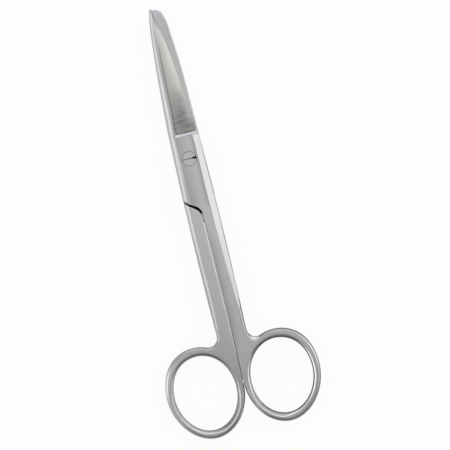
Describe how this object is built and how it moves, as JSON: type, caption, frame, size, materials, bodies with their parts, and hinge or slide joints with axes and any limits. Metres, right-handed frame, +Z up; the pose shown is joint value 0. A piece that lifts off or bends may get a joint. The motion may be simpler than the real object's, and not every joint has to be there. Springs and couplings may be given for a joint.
{
  "type": "dressing scissors",
  "caption": "Straight dressing scissors, one blade sharp and one blunt, with two finger rings, a lap joint and a slotted pivot screw.",
  "frame": {"origin": "on the pivot axis, at the resting face under the joint", "axes": "+Y along the closed blades to the points, +Z up from the resting face along the pivot, +X across towards the ring of the front half"},
  "size_m": [0.0528, 0.1454, 0.005],
  "materials": {
    "steel": "satin stainless steel with polished edges",
    "screw_steel": "turned stainless steel"
  },
  "bodies": {
    "back": {"back_half": "steel", "pivot_screw": "screw_steel"},
    "front": {"front_half": "steel"}
  },
  "joints": [
    {"name": "pivot", "type": "hinge", "parent": "back", "child": "front", "pos_m": [0, 0, 0.0025], "axis": [0, 0, 1], "range_deg": [0, 90]}
  ]
}
